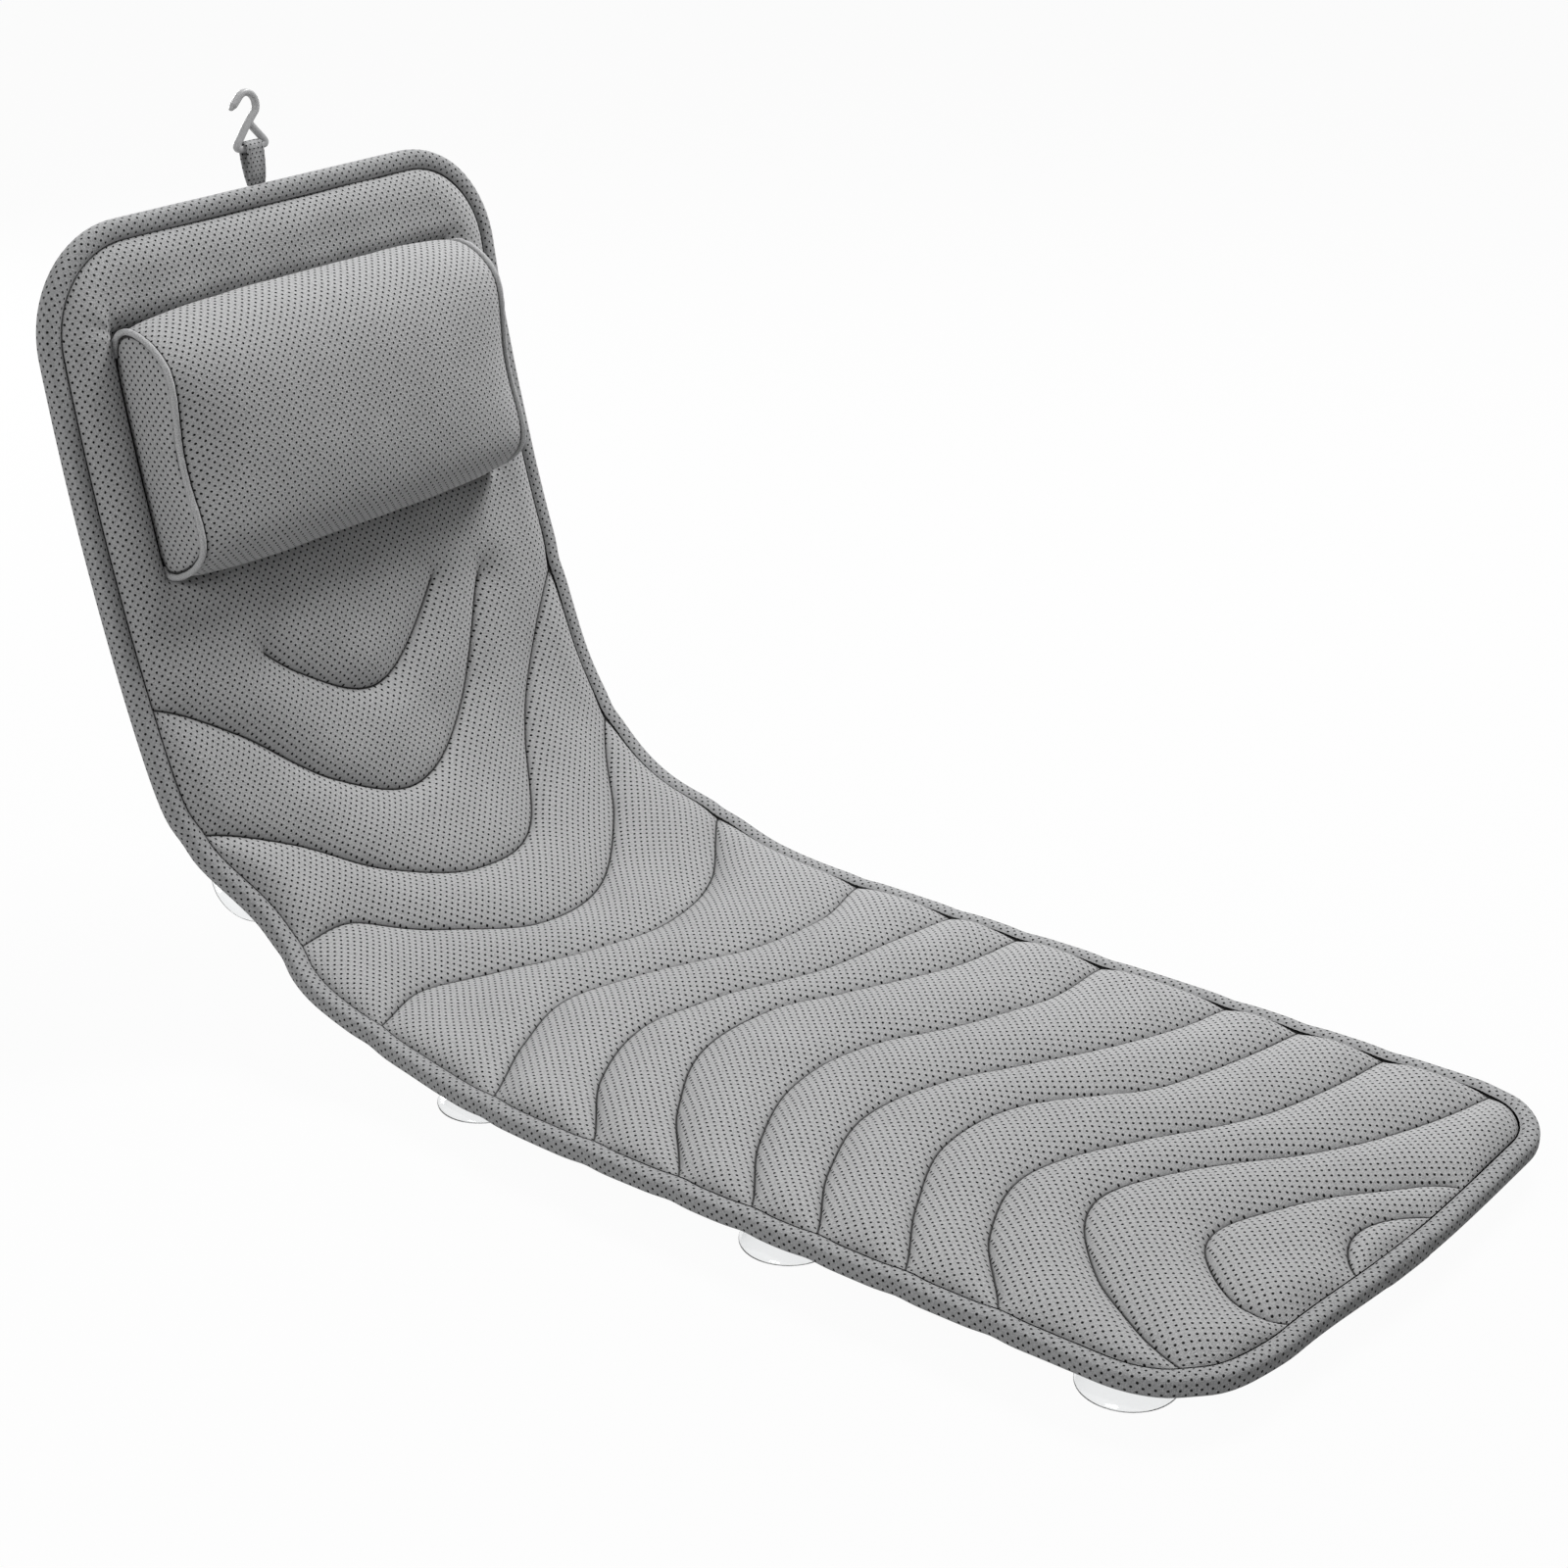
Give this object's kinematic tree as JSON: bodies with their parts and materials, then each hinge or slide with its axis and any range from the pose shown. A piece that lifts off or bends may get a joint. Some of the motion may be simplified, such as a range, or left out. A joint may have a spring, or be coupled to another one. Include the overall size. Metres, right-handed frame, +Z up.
{
  "type": "bath pillow",
  "caption": "Full-length quilted mesh bath mat that bends up the end wall of a tub, with a sewn-on contoured head pillow, suction cups beneath and a hanging hook at the head edge.",
  "frame": {"origin": "middle of the bounding box in plan, at the level of the floor cups' rims", "axes": "+Z up, +Y from the foot edge to the head edge, +X across the mat to the bather's left when seated"},
  "size_m": [0.4, 0.889, 0.5653],
  "materials": {
    "quilt_mesh": "perforated knitted mesh, matt",
    "spacer_core": "open spacer knit, matt",
    "rear_mesh": "plain knitted mesh, matt",
    "edge_binding": "perforated mesh rolled over the edge, matt",
    "pillow_cover": "perforated knitted mesh, matt",
    "pillow_piping": "corded mesh, matt",
    "pillow_filling": "fibre filling, matt",
    "loop_tape": "folded mesh tape, matt",
    "hook_plastic": "moulded, satin",
    "cup_clear_vinyl": "clear soft vinyl, gloss",
    "cup_ring_rubber": "plain, matt"
  },
  "bodies": {
    "seat": {"cup_foot_left": "cup_clear_vinyl", "cup_foot_right": "cup_clear_vinyl", "cup_hip_left": "cup_clear_vinyl", "cup_hip_right": "cup_clear_vinyl", "cup_ring_foot_left": "cup_ring_rubber", "cup_ring_foot_right": "cup_ring_rubber", "cup_ring_hip_left": "cup_ring_rubber", "cup_ring_hip_right": "cup_ring_rubber", "cup_ring_thigh_left": "cup_ring_rubber", "cup_ring_thigh_right": "cup_ring_rubber", "cup_thigh_left": "cup_clear_vinyl", "cup_thigh_right": "cup_clear_vinyl", "seat_binding": "edge_binding", "seat_core": "spacer_core", "seat_quilt": "quilt_mesh", "seat_rear_cover": "rear_mesh"},
    "lumbar_lower": {"lumbar_lower_binding_left": "edge_binding", "lumbar_lower_binding_right": "edge_binding", "lumbar_lower_core": "spacer_core", "lumbar_lower_quilt": "quilt_mesh", "lumbar_lower_rear_cover": "rear_mesh"},
    "lumbar_upper": {"cup_lumbar_left": "cup_clear_vinyl", "cup_lumbar_right": "cup_clear_vinyl", "cup_ring_lumbar_left": "cup_ring_rubber", "cup_ring_lumbar_right": "cup_ring_rubber", "lumbar_upper_binding_left": "edge_binding", "lumbar_upper_binding_right": "edge_binding", "lumbar_upper_core": "spacer_core", "lumbar_upper_quilt": "quilt_mesh", "lumbar_upper_rear_cover": "rear_mesh"},
    "backrest": {"backrest_binding": "edge_binding", "backrest_core": "spacer_core", "backrest_quilt": "quilt_mesh", "backrest_rear_cover": "rear_mesh", "cup_back_left": "cup_clear_vinyl", "cup_back_right": "cup_clear_vinyl", "cup_head_left": "cup_clear_vinyl", "cup_head_right": "cup_clear_vinyl", "cup_ring_back_left": "cup_ring_rubber", "cup_ring_back_right": "cup_ring_rubber", "cup_ring_head_left": "cup_ring_rubber", "cup_ring_head_right": "cup_ring_rubber", "loop_tab": "loop_tape", "pillow_back": "pillow_cover", "pillow_end_left": "pillow_cover", "pillow_end_right": "pillow_cover", "pillow_filling": "pillow_filling", "pillow_front": "pillow_cover", "pillow_piping_left": "pillow_piping", "pillow_piping_right": "pillow_piping"},
    "loop": {"hanging_loop": "loop_tape"},
    "hook": {"hook": "hook_plastic"}
  },
  "joints": [
    {"name": "lumbar_fold_1", "type": "hinge", "parent": "seat", "child": "lumbar_lower", "pos_m": [0, 0.19425, 0.03756], "axis": [1, 0, 0], "range_deg": [-23.3, 20]},
    {"name": "lumbar_fold_2", "type": "hinge", "parent": "lumbar_lower", "child": "lumbar_upper", "pos_m": [0, 0.26538, 0.06824], "axis": [1, 0, 0], "range_deg": [-23.3, 20]},
    {"name": "lumbar_fold_3", "type": "hinge", "parent": "lumbar_upper", "child": "backrest", "pos_m": [0, 0.31854, 0.12458], "axis": [1, 0, 0], "range_deg": [-23.3, 20]},
    {"name": "loop_swing", "type": "hinge", "parent": "backrest", "child": "loop", "pos_m": [0, 0.4325, 0.50563], "axis": [1, 0, 0], "range_deg": [-85, 55]},
    {"name": "hook_swing", "type": "hinge", "parent": "loop", "child": "hook", "pos_m": [0, 0.4349, 0.52851], "axis": [1, 0, 0], "range_deg": [-60, 60]}
  ],
  "couplings": [
    {"joint": "lumbar_fold_2", "follows": "lumbar_fold_1", "ratio": 1},
    {"joint": "lumbar_fold_3", "follows": "lumbar_fold_1", "ratio": 1}
  ]
}
